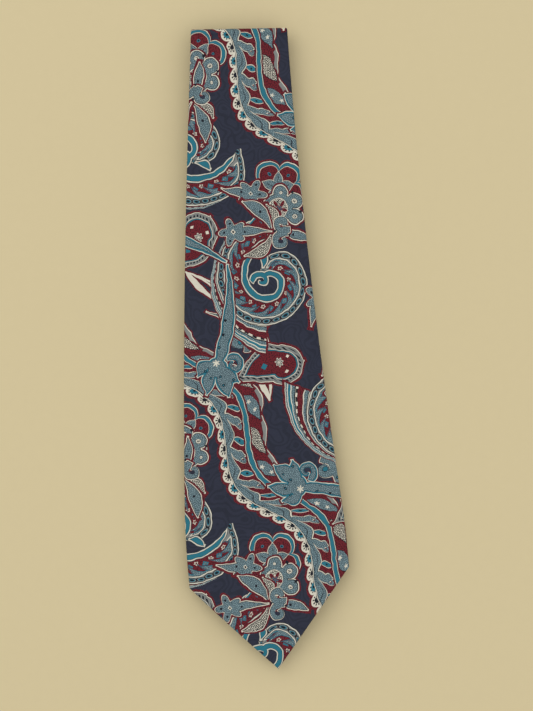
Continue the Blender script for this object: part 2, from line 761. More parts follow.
def draw_boteh(k, under, x, y, g):
    """A large curled leaf, wound round a thick teal scroll, with a bundle of fine bands under it."""
    r = (x * x + y * y).sqrt()
    start = (y.angle(x) - math.pi).wrap(-math.pi / 2, 1.5 * math.pi)
    tail = (start * -0.75).exp() * 6.4 + 9.2
    phi = start + (tail - 3.0 > r) * (start < 0.0) * (2 * math.pi)
    scroll_line = ((phi * -0.75).exp() * 6.4 + 9.2) * (1 - phi.smooth(0.5 * math.pi, 1.95 * math.pi) * 0.62)
    outer = (phi * -0.095 - phi.low(0.0) * 0.11).exp() * 31.0
    outer = outer * (1 - phi.smooth(1.4 * math.pi, 2.02 * math.pi) * 0.7)
    outer = scroll_line + (outer - scroll_line) * phi.smooth(-1.75, -0.95)
    rim = r - scroll_line
    deep = outer - r
    width = (outer - scroll_line).high(0.4)
    arc = (1 - (phi * -0.16).exp()) * 150.0
    # the bundle of bands that hugs the lower left
    out = -deep
    thick = (phi * 0.93).exp() * phi.smooth(-1.0, -0.2) * 2.7
    q = out / thick.high(0.3)
    bundle = (out > 0.0) * (q < 1.0) * (phi > -0.9) * (phi < 2.0) * (out < 20.0)
    beads = (arc * 2.4).sin() > 0.0
    col = k.mix(under, g["Leaf red"], (out > -1.0) * (q < 1.1) * (thick > 4.0) * (phi < 2.03) * (out < 21.0))
    strips = g["Cream"]
    for level, colour in (
        (0.07, g["Dark"]), (0.1, g["Hatch"]), (0.22, g["Cream"]), (0.26, g["Leaf red"]), (0.5, g["Cream"]),
        (0.58, g["Dark"]), (0.62, g["Hatch"]), (0.72, g["Cream"]), (0.76, g["Teal"]), (0.86, g["Cream"]),
        (0.9, g["Hatch"]), (0.97, g["Cream"]),
    ):
        strips = k.mix(strips, colour, q > level)
    strips = k.mix(strips, g["Dark"], (q > 0.5) * (q < 0.57) * beads)
    col = k.mix(col, strips, bundle)
    # the leaf
    body = rim > 0.0
    col = k.mix(col, g["Dark"], (deep > -0.75) * body)
    col = k.mix(col, g["Cream"], (deep > -0.45) * body)
    col = k.mix(col, g["Grey"], (deep > 0.1) * body)
    link = arc.wrap(-2.05, 2.05)
    oval = 1.0 - ((link * link) * 0.42 + (deep - 1.9) * (deep - 1.9) * 0.8).sqrt()
    between = (link.abs() > 1.65) * (((deep - 1.9).abs()) < 0.9)
    col = k.mix(col, g["Dark"], (deep > 0.3) * (deep < 3.6) * body * (oval < -0.12) * (oval > -0.5))
    col = k.mix(col, g["Grey"], (oval > -0.12) * body)
    col = k.mix(col, g["Teal"], (oval > 0.12) * body)
    col = k.mix(col, g["Dark"], (oval > 0.42) * body)
    col = k.mix(col, g["Dark"], between * body)
    col = laid_on(k, col, deep.low(rim), [(3.7, g["Cream"]), (4.3, g["Dark"]), (4.55, g["Hatch"])])
    saw = (arc + rim * 0.55).wrap(0.0, 7.6) / 7.6
    teeth = width - 5.5 - saw.power(1.7) * 4.6 - rim
    notch = (saw - 0.06).abs() * 26 - 0.5
    teeth = teeth.low(notch.high(width - 10.8 - rim))
    col = laid_on(k, col, teeth.low(rim), [(-0.5, g["Teal"]), (-0.02, g["Dark"]), (0.2, g["Leaf red"])])
    step = (arc * 0.86).wrap(-4.1, 4.1)
    row = rim - width * 0.24 - 1.0
    col = laid_on(
        k, col, flower(step, row, 1.35, 5, 0.2).low(teeth - 0.8), [(0.0, g["Cream"]), (0.45, g["Leaf red"])]
    )
    step = (arc * 0.86 + 4.1).wrap(-4.1, 4.1)
    lozenge = (1.9 - step.abs() - (rim - width * 0.33 - 1.0).abs()).low(teeth - 0.8)
    col = laid_on(k, col, lozenge, [(0.0, g["Teal"]), (0.75, g["Hatch"])])
    # the thick scroll, with a barb and a small hook inside it
    stroke = phi.smooth(-math.pi / 2, -0.6) * 0.55 + 0.75 - rim.abs()
    stroke = stroke - (1 - phi.smooth(-1.62, -1.25)) * 2.2
    hx, hy = turned(x + 3.6, y + 1.6, 205)
    hook = scroll(hx, -hy, 5.2, 0.26, 0.85, 1.35, 0.9)
    bx, by = turned(x + 10.8, y - 13.5, -62)
    barb = leaf(bx, by, 8.5, 1.5, 1.2, 0.8)
    stroke = stroke.high(hook * (phi > -9.0)).high(barb)
    col = laid_on(
        k, col, stroke,
        [(-1.25, g["Dark"]), (-1.0, g["Grey"]), (-0.75, g["Cream"]), (-0.2, g["Dark"]), (0.02, g["Teal"])]
    )
    return col


def draw_garland(k, under, along, side, g):
    """One edge to edge band: leaves on one side of a teal stem, hooked waves and lace on the other."""
    red, cream, dark, hatch, teal = g["Leaf red"], g["Cream"], g["Dark"], g["Hatch"], g["Teal"]
    far = -side
    # lace
    pitch = WAVE / 12
    lx = along.wrap(-pitch / 2, pitch / 2)
    ly = far - 16.0
    reach = (lx * lx + ly * ly).sqrt()
    e = (3.75 - reach).high(0.6 - ly) + (far < 9.0) * -999.0
    col = laid_on(k, under, e, [(-1.5, red), (0.0, cream)])
    spokes = (ly.angle(lx) * 9.0).cos() > 0.1
    col = k.mix(col, dark, (reach < 2.75) * (reach > 1.5) * spokes * (far > 9.0))
    odd = (((along / pitch).round() * math.pi).cos() > 0.0)
    col = k.mix(col, dark, (reach < 1.35) * (far > 9.0))
    col = k.mix(col, teal, (reach < 2.0) * odd * (far > 9.0))
    col = k.mix(col, dark, (reach < 0.7) * (far > 9.0))
    # burgundy ground with teal pods and hooked waves
    col = k.mix(col, red, (far > 0.0) * (far < 14.6))
    step = WAVE / 5
    px = (along + far * 0.75 - 10.0).wrap(-step / 2, step / 2)
    pod = leaf(far - 1.4, px, 8.0, 1.5)
    col = laid_on(k, col, pod, [(-0.55, cream), (-0.15, dark), (0.05, teal)])
    col = k.mix(col, dark, disc(px, far - 5.4, 0.6) > 0)
    wx = (along + far * 0.9).wrap(-step / 2, step / 2)
    wave = (wx * (2 * math.pi / step)).cos() * 1.7 + 10.6
    crest = leaf(13.0 - far, wx + 0.6, 10.0, 2.3, 1.5, 0.75)
    curl = scroll(wx * -1.0 + 1.6, far - 4.6, 2.7, 0.2, 0.95, 1.05, 0.8)
    band = (far - wave).low(14.6 - far).high(crest).high(curl + (far > 9.0) * -9.0)
    band = band + (far < 1.4) * -9.0
    col = laid_on(k, col, band, [(-0.8, dark), (-0.58, cream), (-0.12, dark), (0.1, hatch)])
    col = k.mix(col, dark, ((far - wave - 2.2).abs() < 0.16) * (far < 14.6))
    # leaves in burgundy bays on a plain grey ground
    bay = (along * (math.pi / step)).sin().abs() * 2.6 + 10.2
    ground = (bay - side).low(side)
    col = laid_on(k, col, ground, [(-1.3, red), (-0.45, cream), (0.0, g["Grey"]), (2.0, red)])
    bend = side * 2.1
    lx, ly = turned((along - bend).wrap(-step / 2, step / 2) + bend, side, 25)
    blade = leaf(lx - 2.0, ly, 21.0, 3.5, 0.8, 0.85) + (side < 0.0) * -9.0
    even = ((((along - bend) / step).round() * math.pi).cos() > 0.0)
    fill = k.mix(g["Speckle"], hatch, even)
    col = laid_on(k, col, blade, [(-1.2, red), (-0.1, dark), (0.2, fill)])
    spot = (lx - 12.0).abs() - 3.0
    col = k.mix(col, cream, (flower(spot, ly - 0.5, 1.4, 5) > 0) * even * (side > 0.0))
    # the stem
    stem = 1.2 - side.abs()
    return laid_on(k, col, stem, [(-1.5, red), (-0.72, dark), (-0.5, cream), (-0.12, dark), (0.08, teal)])


def draw_tulip(k, under, x, y, g):
    """A bell flower on a long bent stem, pale blue in a teal edge."""
    sx, sy = turned(x, y, 160)
    stem = leaf(sx + 5, -sy, 62, 3.1, 4.5, 0.6)
    e = stem.high(disc(x - 3.5, y, 5.6))
    for angle, length, width, bend in (
        (6, 21.0, 4.4, 1.0), (-30, 19.0, 3.6, -1.2), (-66, 13.0, 3.2, -2.6), (36, 17.5, 3.6, -1.0)
    ):
        lx, ly = turned(x, y, angle)
        e = e.high(leaf(lx, ly, length, width, bend, 1.35))
    hx, hy = turned(x - 4.0, y - 10.2, -160)
    e = e.high(scroll(hx, -hy, 5.0, 0.17, 0.95, 1.9, 0.9))
    col = laid_on(
        k, under, e,
        [
            (-1.7, g["Leaf red"]), (-1.0, g["Dark"]), (-0.85, g["Cream"]), (-0.45, g["Teal"]),
            (0.35, g["Dark"]), (0.55, g["Hatch"])
        ]
    )
    col = k.mix(col, g["Cream"], flower(x - 1.0, y, 2.3, 6) > 0)
    marks = [
        (8.5, 0.6), (14.0, 0.8), (8.4, -5.4), (12.5, 7.6), (3.4, -7.0), (-8, 4.0), (-15, 7.6), (-22, 11.2)
    ]
    col = dots(k, col, x, y, marks, 0.85, g["Dark"])
    return dots(k, col, x, y, marks[:6], 0.42, g["Teal"])


def draw_trefoil(k, under, x, y, g):
    """A pale blue bell of five lobes on a short neck."""
    e = flower(x - 13.0, y - 0.5, 8.4, 5, 0.27).high(leaf(x + 5, y, 18, 2.3, 0.8, 1.3))
    col = edged(k, under, e, g["Hatch"], g, 2.0)
    col = k.mix(col, g["Cream"], (1.4 - (x - 12.0).abs() - (y - 0.5).abs()) > 0)
    return dots(
        k, col, x, y, [(12.0, 0.5), (17.6, 0.5), (14.4, 5.4), (14.4, -4.6), (6.4, 0.2)], 0.65, g["Dark"]
    )


def draw_crown(k, under, x, y, g):
    """A scalloped blue edge round a speckled heart with a small red flower."""
    x, y = x * 0.84, y * 0.84
    e = disc(x, y, 7.2).high(disc(x - 6.5, y - 5.6, 3.7))
    e = e.high(disc(x - 9.2, y + 1.6, 3.6)).high(disc(x - 3.4, y + 8.0, 3.5))
    e = e.high(disc(x + 1.5, y - 7.6, 3.2))
    col = edged(k, under, e, g["Hatch"], g, 1.4)
    col = laid_on(k, col, e, [(2.3, g["Dark"]), (2.5, g["Cream"]), (2.9, g["Speckle"])])
    col = laid_on(
        k, col, flower(x - 0.5, y, 4.2, 5, 0.35), [(-0.3, g["Cream"]), (0.0, g["Leaf red"]), (2.4, g["Teal"])]
    )
    return dots(k, col, x, y, [(8.6, -7.0), (11.0, 1.6), (4.4, 9.6)], 0.75, g["Dark"])


def draw_pod(k, under, x, y, g):
    """A red leaf in a teal edge, with two small teal flowers."""
    e = leaf(x, y, 21, 4.0, 2.5, 1.1)
    col = laid_on(
        k, under, e,
        [(-1.5, g["Dark"]), (-1.3, g["Cream"]), (-0.9, g["Teal"]), (0.0, g["Dark"]), (0.2, g["Leaf red"])]
    )
    for place, rise in ((7.5, 1.6), (13.0, 1.8)):
        col = laid_on(k, col, flower(x - place, y - rise, 1.3, 5, 0.2), [(0.0, g["Teal"]), (0.6, g["Hatch"])])
    return col


def draw_stalk(k, under, x, y, g):
    """A pale blue stalk with round marks that ends in a curl."""
    e = leaf(x + 26, y - 2.6, 30, 2.6, 4.0, 1.6)
    e = e.high(scroll(x, y, 5.6, 0.16, 0.98, 2.3, 1.4)).high(disc(x, y, 2.4))
    col = laid_on(
        k, under, e, [(-1.3, g["Leaf red"]), (-0.55, g["Cream"]), (-0.1, g["Dark"]), (0.2, g["Hatch"])]
    )
    col = dots(k, col, x, y, [(-6.5, 5.6), (-12.5, 6.4), (-18.5, 5.4)], 1.0, g["Dark"])
    col = dots(k, col, x, y, [(-6.5, 5.6), (-12.5, 6.4)], 0.55, g["Teal"])
    return laid_on(k, col, disc(x, y, 1.6), [(0.0, g["Dark"]), (0.3, g["Teal"])])


def draw_rosette(k, under, x, y, g):
    """An open flower with a scalloped teal rim."""
    r = (x * x + y * y).sqrt()
    sector = math.pi / 5
    angle = y.angle(x)
    lobe = angle.wrap(-sector, sector)
    edge = ((lobe.abs() * 2.5).cos()).power(0.55) * 5.7 + 11.0
    e = edge - r
    col = laid_on(k, under, e, [
        (-1.9, g["Leaf red"]), (-1.0, g["Dark"]), (-0.75, g["Cream"]), (-0.25, g["Dark"]), (0.0, g["Teal"]),
        (1.7, g["Dark"]), (1.9, g["Cream"]), (2.25, g["Leaf red"]),
    ])
    bud = disc((r * lobe.cos()) - 9.6, r * lobe.sin(), 0.95)
    col = laid_on(k, col, bud, [(0.0, g["Teal"]), (0.45, g["Dark"])])
    turn = (angle + sector).wrap(-sector, sector)
    px, py = r * turn.cos(), r * turn.sin()
    petal = leaf(px - 0.5, py, 9.3, 2.7, 0.0, 0.9)
    col = laid_on(k, col, petal, [(-0.35, g["Cream"]), (0.0, g["Dark"]), (0.2, g["Hatch"])])
    col = k.mix(col, g["Dark"], (py.abs() < 0.18) * (px > 2.0) * (px < 7.0))
    return laid_on(k, col, flower(x, y, 2.6, 5), [(0.0, g["Cream"]), (0.9, g["Teal"]), (1.5, g["Leaf red"])])


def draw_kidney(k, under, x, y, g):
    """A bent drop with a beaded grey border and a red heart."""
    notch = ((x - 1.0) * (x - 1.0) + (y + 13.6) * (y + 13.6)).sqrt() - 4.6
    e = leaf(x + 22, y, 42, 10.6, 4.5, 1.25).high(disc(x - 8.2, y - 1.2, 11.2)).low(notch)
    col = laid_on(
        k, under, e, [(-1.7, g["Leaf red"]), (-0.45, g["Cream"]), (0.0, g["Dark"]), (0.2, g["Grey"])]
    )
    beads = ((x * 2.6 + y * 2.1).sin() > -0.1) * (e > 0.9) * (e < 2.1)
    col = k.mix(col, g["Dark"], beads)
    col = laid_on(
        k, col, e,
        [(2.5, g["Cream"]), (2.85, g["Dark"]), (3.05, g["Teal"]), (3.6, g["Dark"]), (3.8, g["Leaf red"])]
    )
    col = laid_on(
        k, col, flower(x - 6.5, y - 3.2, 2.7, 7, 0.2),
        [(0.0, g["Cream"]), (0.4, g["Grey"]), (0.9, g["Dark"]), (1.4, g["Cream"])]
    )
    col = k.mix(col, g["Teal"], (2.0 - (x + 3.0).abs() - (y - 3.6).abs()) > 0)
    col = k.mix(col, g["Cream"], (1.2 - (x - 12.2).abs() - (y - 5.0).abs()) > 0)
    return k.mix(col, g["Cream"], (1.0 - (x - 8.6).abs() * 0.7 - (y + 3.4).abs()) > 0)


def draw_long_leaf(k, under, x, y, g):
    """A long bent leaf, cream outside and speckled inside, with knobs and a curled end."""
    body = leaf(x, y, 70, 4.6, 8.4, 1.7)
    spot = (x - 43.0).abs()
    knob = leaf(y + 1.2 - spot * 0.6, x - 42.0, 17.0, 1.7, 0.0, 1.0)
    hx, hy = turned(x - 56.0, y + 4.6, 60)
    curl = scroll(hx, hy, 4.2, 0.22, 0.85, 1.5, 0.9)
    fx, fy = turned(x, y, 2)
    fork = leaf(fx - 1.0, fy, 22, 1.3, -1.0, 0.8)
    e = body.high(knob).high(curl).high(fork)
    col = laid_on(k, under, e, [(-1.4, g["Leaf red"]), (-0.5, g["Cream"])])
    col = laid_on(k, col, body, [(0.7, g["Dark"]), (0.9, g["Speckle"])])
    for place, rise in ((36.0, 8.5), (47.0, 7.8), (57.0, 5.6), (26.0, 8.0)):
        col = laid_on(k, col, disc(x - place, y - rise, 1.35), [(0.0, g["Dark"]), (0.35, g["Teal"])])
    return col


def draw_spray(k, under, x, y, g):
    """Two curls, three leaves and a bell of five lobes on one stalk."""
    col = under
    for angle, length, width, bend, fill in (
        (-38, 21, 2.7, -4.5, "Speckle"), (80, 15, 3.6, 1.0, "Speckle"), (47, 24, 3.4, 3.0, "Hatch"),
        (197, 22, 2.4, -1.5, "Hatch"),
    ):
        lx, ly = turned(x, y, angle)
        col = edged(k, col, leaf(lx - 1, ly, length, width, bend, 1.3), g[fill], g, 1.8)
        if fill == "Hatch":
            col = dots(k, col, lx, ly, [(length * 0.55, bend * 0.9)], 0.8, g["Dark"])
    bell = flower(x - 24.0, y - 0.5, 8.0, 5, 0.27).high(leaf(x - 1, y, 24, 2.4, 0.8, 1.5))
    col = edged(k, col, bell, g["Hatch"], g, 2.0)
    col = k.mix(col, g["Cream"], (1.5 - (x - 23.4).abs() - (y - 0.6).abs()) > 0)
    col = dots(
        k, col, x, y, [(23.4, 0.6), (28.6, 0.6), (25.4, 5.4), (25.4, -4.4), (16.5, 0.4)], 0.65, g["Dark"]
    )
    curls = None
    for cx, cy, angle, flip in ((-5.6, 4.6, -125, 1.0), (-4.6, -6.0, 120, -1.0)):
        hx, hy = turned(x - cx, y - cy, angle)
        e = scroll(hx, hy * flip, 4.8, 0.18, 0.95, 2.0, 1.1)
        curls = e if curls is None else curls.high(e)
    col = edged(k, col, curls, g["Hatch"], g, 1.7)
    return dots(k, col, x, y, [(-1.0, 0.2), (-9.5, -2.4)], 0.75, g["Dark"])


def cloth_print(k, u, v, inks):
    """The colour of the flat silk, u mm across it and v mm along it."""
    waver = k.noise(u, v, 0.16, 1.0) - 0.5
    sway = k.noise(v, u, 0.16, 1.0) - 0.5
    fine, coarse = k.cells(u, v, 1.05, "edge"), k.cells(v, u, 1.0, "edge")
    flecks, slow = k.cells(u, v, 1.3), k.noise(u, v, 0.06, 1.0)
    u, v = u + waver * PRINT_WANDER, v + sway * PRINT_WANDER
    c, n = math.cos(math.radians(REPEAT_TURN)), math.sin(math.radians(REPEAT_TURN))
    S = u * c - v * n
    T = u * n + v * c
    g = {name: inks[name] for name in ("Teal", "Cream", "Grey", "Dark")}
    g["Hatch"] = k.mix(inks["Pale"], inks["Deep"], (fine < 0.27) * 0.9)
    g["Speckle"] = k.mix(inks["Dark"], inks["Cream"], coarse > 0.36)
    g["Leaf red"] = k.mix(inks["Burgundy"], inks["Maroon"], (flecks > 0.48) * 0.9)
    swirl = (slow * 70.0 + T * 0.15).sin()
    col = k.mix(inks["Navy"], inks["Dark"], (swirl > 0.2) * 0.3)

    def put(name, draw, col, *places):
        """One motif at several places: each point of the cloth takes the nearest."""
        x, y = set_in(S, T, *places[0])
        for place in places[1:]:
            nx, ny = set_in(S, T, *place)
            nearer = (x * x + y * y) > (nx * nx + ny * ny)
            x = x + (nx - x) * nearer
            y = y + (ny - y) * nearer
        return k.motif(name, draw, col, x, y, g)

    side = (T - (S * (2 * math.pi / WAVE)).cos() * GARLAND_SWEEP).wrap(-REPEAT_ACROSS / 2, REPEAT_ACROSS / 2)
    under = (
        ("Print stalk", draw_stalk, -24.0, 26.0, 20),
        ("Print long leaf", draw_long_leaf, -76.0, 22.0, 12),
    )
    over = (
        ("Print kidney", draw_kidney, 0.0, 32.0, 75),
        ("Print rosette", draw_rosette, 2.0, 94.0, 0),
        ("Print boteh", draw_boteh, -45.0, 60.0, 30),
        ("Print pod", draw_pod, 14.0, 62.0, 80),
        ("Print tulip", draw_tulip, -22.0, 8.0, -20),
        ("Print crown", draw_crown, -78.0, 88.0, 40),
        ("Print trefoil", draw_trefoil, -12.0, 70.0, 130),
        ("Print spray", draw_spray, 22.0, 78.0, -60),
    )
    for name, draw, along, across, turn in under:
        col = put(name, draw, col, *in_turn(along, across, turn))
    col = k.motif("Print garland", draw_garland, col, S, side, g)
    for name, draw, along, across, turn in over:
        col = put(name, draw, col, *in_turn(along, across, turn))
    return col


# ---------------------------------------------------------------- finishes


def shader(material, values):
    """The material's own surface shader, with the values that are the same all over it."""
    node = material.node_tree.nodes.get("Principled BSDF")
    for name, value in values.items():
        node.inputs[name].default_value = value
    return node


def new_material(name, values):
    material = bpy.data.materials.new(name)
    material.use_nodes = True
    return material, material.node_tree, shader(material, values)


def weave_group():
    """Twill lines broken by single threads: how high the cloth stands, and how dark each thread is."""
    group = bpy.data.node_groups.get("Twill weave")
    if group:
        return group
    group = bpy.data.node_groups.new("Twill weave", "ShaderNodeTree")
    for name, kind, value in (
        ("Across", "NodeSocketFloat", 0.0),
        ("Along", "NodeSocketFloat", 0.0),
        ("Threads per mm", "NodeSocketFloat", 2.2),
        ("Slub", "NodeSocketFloat", 0.35),
    ):
        group.interface.new_socket(name, in_out="INPUT", socket_type=kind).default_value = value
    for name in ("Height", "Shade"):
        group.interface.new_socket(name, in_out="OUTPUT", socket_type="NodeSocketFloat")
    given = group.nodes.new("NodeGroupInput").outputs
    dye = Dye(group)
    across, along = Wire(group, given["Across"]), Wire(group, given["Along"])
    count, slub = Wire(group, given["Threads per mm"]), Wire(group, given["Slub"])
    x, y = across * count, along * count
    rib = ((x + y) * math.pi).sin() * 0.5 + 0.5
    pick = (y * (2 * math.pi)).sin() * 0.5 + 0.5
    uneven = dye.noise(across * 0.35, along * 2.4, 1.0, 3.0, 0.6)
    patchy = dye.noise(across, along, 0.12, 2.0, 0.5)
    height = rib * 0.65 + pick * 0.2 + uneven * slub
    shade = (uneven - 0.5) * slub + (patchy - 0.5) * 0.25 + (rib - 0.5) * 0.12
    result = group.nodes.new("NodeGroupOutput").inputs
    join(group, height, result["Height"])
    join(group, shade + 1.0, result["Shade"])
    return group


def cloth_places(tree):
    """Millimetres across and along the flat cloth, from the piece's own cloth map."""
    source = tree.nodes.new("ShaderNodeUVMap")
    source.uv_map = "Cloth"
    parts = tree.nodes.new("ShaderNodeSeparateXYZ")
    tree.links.new(source.outputs[0], parts.inputs[0])
    return Wire(tree, parts.outputs[0]) * 1000.0, Wire(tree, parts.outputs[1]) * 1000.0


def woven(tree, across, along, threads, slub):
    node = tree.nodes.new("ShaderNodeGroup")
    node.node_tree = weave_group()
    join(tree, across, node.inputs["Across"])
    join(tree, along, node.inputs["Along"])
    node.inputs["Threads per mm"].default_value = threads
    node.inputs["Slub"].default_value = slub
    return Wire(tree, node.outputs["Height"]), Wire(tree, node.outputs["Shade"])


def shaded(tree, colour, shade):
    """A colour made lighter or darker all together."""
    node = tree.nodes.new("ShaderNodeVectorMath")
    node.operation = "SCALE"
    join(tree, colour, node.inputs[0])
    join(tree, shade, node.inputs["Scale"])
    return node.outputs[0]


def raised(tree, height, strength, distance):
    node = tree.nodes.new("ShaderNodeBump")
    node.inputs["Strength"].default_value = strength
    node.inputs["Distance"].default_value = distance * MM
    join(tree, height, node.inputs["Height"])
    return node.outputs["Normal"]


def printed_silk_material(inks):
    material, tree, surface = new_material(
        "Printed silk twill",
        {"Sheen Weight": 0.03, "Sheen Roughness": 0.45, "Specular IOR Level": 0.12},
    )
    across, along = cloth_places(tree)
    dye = Dye(tree)
    colour = cloth_print(dye, across, along, inks)
    height, shade = woven(tree, across, along, 2.0, 0.3)
    tree.links.new(shaded(tree, colour, shade), surface.inputs["Base Color"])
    join(tree, (shade - 1.0) * 0.3 + 0.62, surface.inputs["Roughness"])
    tree.links.new(raised(tree, height, 0.35, 0.06), surface.inputs["Normal"])
    return material


def woven_material(name, colour, second, threads, slub, rough, relief, values):
    """Plain woven cloth with uneven threads."""
    material, tree, surface = new_material(name, values)
    across, along = cloth_places(tree)
    dye = Dye(tree)
    height, shade = woven(tree, across, along, threads, slub)
    patches = dye.noise(across, along, 0.25, 3.0, 0.6).ramp(0.3, 0.7)
    mixed_colour = dye.mix(colour, second, patches)
    tree.links.new(shaded(tree, mixed_colour, shade), surface.inputs["Base Color"])
    join(tree, (shade - 1.0) * 0.3 + rough, surface.inputs["Roughness"])
    tree.links.new(raised(tree, height, relief, 0.1), surface.inputs["Normal"])
    return material


def label_material(name, colour, second, size):
    """Satin with a woven double border and small spaced lozenges."""
    material, tree, surface = new_material(name, {"Specular IOR Level": 0.45, "Sheen Weight": 0.1})
    across, along = cloth_places(tree)
    dye = Dye(tree)
    inset = (size[0] / 2 - across.abs()).low(size[1] / 2 - along.abs())
    line = (inset > 2.0) * (inset < 2.6)
    line = line.high((inset > 3.2) * (inset < 3.5))
    height, shade = woven(tree, across, along, 3.0, 0.2)
    made = dye.mix(colour, second, line)
    tree.links.new(shaded(tree, made, shade), surface.inputs["Base Color"])
    join(tree, line * 0.15 + 0.38, surface.inputs["Roughness"])
    tree.links.new(raised(tree, height + line * 2.0, 0.3, 0.08), surface.inputs["Normal"])
    return material


def thread_material(name, colour, second):
    """Twisted sewing thread, by its place on the object."""
    material, tree, surface = new_material(name, {"Specular IOR Level": 0.35, "Sheen Weight": 0.2})
    source = tree.nodes.new("ShaderNodeTexCoord")
    parts = tree.nodes.new("ShaderNodeSeparateXYZ")
    tree.links.new(source.outputs["Object"], parts.inputs[0])
    x, y = Wire(tree, parts.outputs[0]) * 1000.0, Wire(tree, parts.outputs[1]) * 1000.0
    twist = ((x * 3.0 + y * 2.2) * math.pi).sin() * 0.5 + 0.5
    dye = Dye(tree)
    uneven = dye.noise(x, y, 1.5, 2.0, 0.5)
    tree.links.new(
        dye.mix(colour, second, (twist * 0.6 + uneven * 0.5).low(1.0)), surface.inputs["Base Color"]
    )
    join(tree, twist * 0.15 + 0.5, surface.inputs["Roughness"])
    tree.links.new(raised(tree, twist, 0.5, 0.08), surface.inputs["Normal"])
    return material


def floor_material(colour):
    material, tree, surface = new_material("Plain floor", {"Specular IOR Level": 0.0, "Roughness": 0.95})
    source = tree.nodes.new("ShaderNodeTexCoord")
    parts = tree.nodes.new("ShaderNodeSeparateXYZ")
    tree.links.new(source.outputs["Object"], parts.inputs[0])
    dye = Dye(tree)
    faint = dye.noise(Wire(tree, parts.outputs[0]), Wire(tree, parts.outputs[1]), 180.0, 2.0, 0.5)
    tree.links.new(
        shaded(tree, dye.mix(colour, colour, faint), (faint - 0.5) * 0.02 + 1.0), surface.inputs["Base Color"]
    )
    return material


# ---------------------------------------------------------------- settings


def colour_setting(name, description, screen):
    return bpy.props.FloatVectorProperty(
        name=name, description=description, subtype="COLOR", size=4, min=0.0, max=1.0, default=linear(screen)
    )


class NecktieColours(bpy.types.PropertyGroup):
    navy: colour_setting("Navy", "Ground of the print", (43, 46, 60))
    burgundy: colour_setting("Burgundy", "Red of the print", (104, 30, 38))
    maroon: colour_setting("Maroon", "Darker red flecks in the burgundy", (62, 20, 27))
    teal: colour_setting("Teal", "Stems and scrolls", (38, 106, 122))
    deep: colour_setting("Deep teal", "Small marks in the pale blue", (26, 46, 56))
    pale: colour_setting("Pale blue", "Petals and leaves", (118, 140, 145))
    cream: colour_setting("Cream", "Fine outlines and lace", (204, 199, 182))
    grey: colour_setting("Grey", "Plain leaf grounds", (122, 125, 122))
    dark: colour_setting("Dark line", "Fine dark outlines", (24, 27, 35))
    lining: colour_setting("Lining", "Tip lining", (40, 44, 62))
    wool: colour_setting("Wool", "Interlining", (222, 214, 196))
    thread: colour_setting("Thread", "Sewing thread", (70, 76, 100))
    label: colour_setting("Label", "Ground of the blank labels", (38, 42, 60))
    floor: colour_setting("Floor", "Plain pale floor", (206, 191, 152))


class NecktieSizes(bpy.types.PropertyGroup):
    silk: bpy.props.FloatProperty(
        name="Silk", description="Thickness of the silk", default=0.2 * MM, min=0.0, subtype="DISTANCE",
        unit="LENGTH"
    )
    grid: bpy.props.FloatProperty(
        name="Mesh step", description="Length of one row of the cloth mesh", default=3.0 * MM, min=0.5 * MM,
        subtype="DISTANCE", unit="LENGTH",
    )
    stitch: bpy.props.FloatProperty(
        name="Stitch step", description="From one slip stitch to the next", default=STITCH_STEP * MM,
        min=2 * MM,
        subtype="DISTANCE", unit="LENGTH",
    )
    camera_height: bpy.props.FloatProperty(
        name="Camera height", description="Camera above the tie", default=1.5, min=0.3, subtype="DISTANCE",
        unit="LENGTH"
    )
    daylight: bpy.props.FloatProperty(
        name="Soft light", description="Strength of the even light", default=0.8, min=0.0
    )


def inks_of(context):
    colours = context.scene.necktie_colours
    names = ("navy", "burgundy", "maroon", "teal", "deep", "pale", "cream", "grey", "dark")
    return {name.capitalize(): tuple(getattr(colours, name)) for name in names}


def finish_of(context, name):
    """The material of that finish, made when it is first asked for."""
    found = bpy.data.materials.get(name)
    if found:
        return found
    colours = context.scene.necktie_colours

    def lighter(colour, by):
        return tuple(min(c * by, 1.0) for c in colour[:3]) + (1.0,)

    if name == "Printed silk twill":
        return printed_silk_material(inks_of(context))
    if name == "Wool interlining":
        wool = tuple(colours.wool)
        return woven_material(
            name, wool, lighter(wool, 0.85), 1.1, 0.6, 0.9, 0.8,
            {"Specular IOR Level": 0.15, "Sheen Weight": 0.3}
        )
    if name == "Tip lining":
        lining = tuple(colours.lining)
        return woven_material(
            name, lining, lighter(lining, 1.2), 2.6, 0.25, 0.42, 0.4, {"Specular IOR Level": 0.4}
        )
    if name == "Label satin":
        label = tuple(colours.label)
        return label_material(name, label, tuple(colours.grey), (58.0, 30.0))
    if name == "Care label satin":
        return label_material(name, tuple(colours.cream), tuple(colours.grey), (18.0, 22.0))
    if name == "Sewing thread":
        thread = tuple(colours.thread)
        return thread_material(name, thread, lighter(thread, 1.7))
    raise RuntimeError("no finish is named " + name)


def dress(context, piece, finish, slot, *nodes):
    piece.data.materials.clear()
    piece.data.materials.append(finish_of(context, finish))
    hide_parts(*nodes)
    return piece


# ---------------------------------------------------------------- operators


class NECKTIE_OT_wide_silk(bpy.types.Operator):
    """Makes the wide blade's printed silk, from the top fold to its point"""

    bl_idname = "necktie.wide_silk"
    bl_label = "Wide blade silk"

    def execute(self, context):
        step = context.scene.necktie_sizes.grid / MM
        drop = FACE_LENGTH - HEM * math.sqrt(2)
        ends = [FACE_LENGTH - gap for gap in (0.15, 0.4, 0.8, 1.4, 2.4, 4.0, 6.0)]
        depths = spread(TOP_CENTRE, FACE_LENGTH, step, [WIDE_APEX, BLADE_CORNER, drop] + ends)
        piece = panel_silk("wide_silk", WIDE, depths, lambda d: (-d, 0.0))
        dress(context, piece, "Printed silk twill", "printed_silk", "wide_blade_silk")
        return {"FINISHED"}


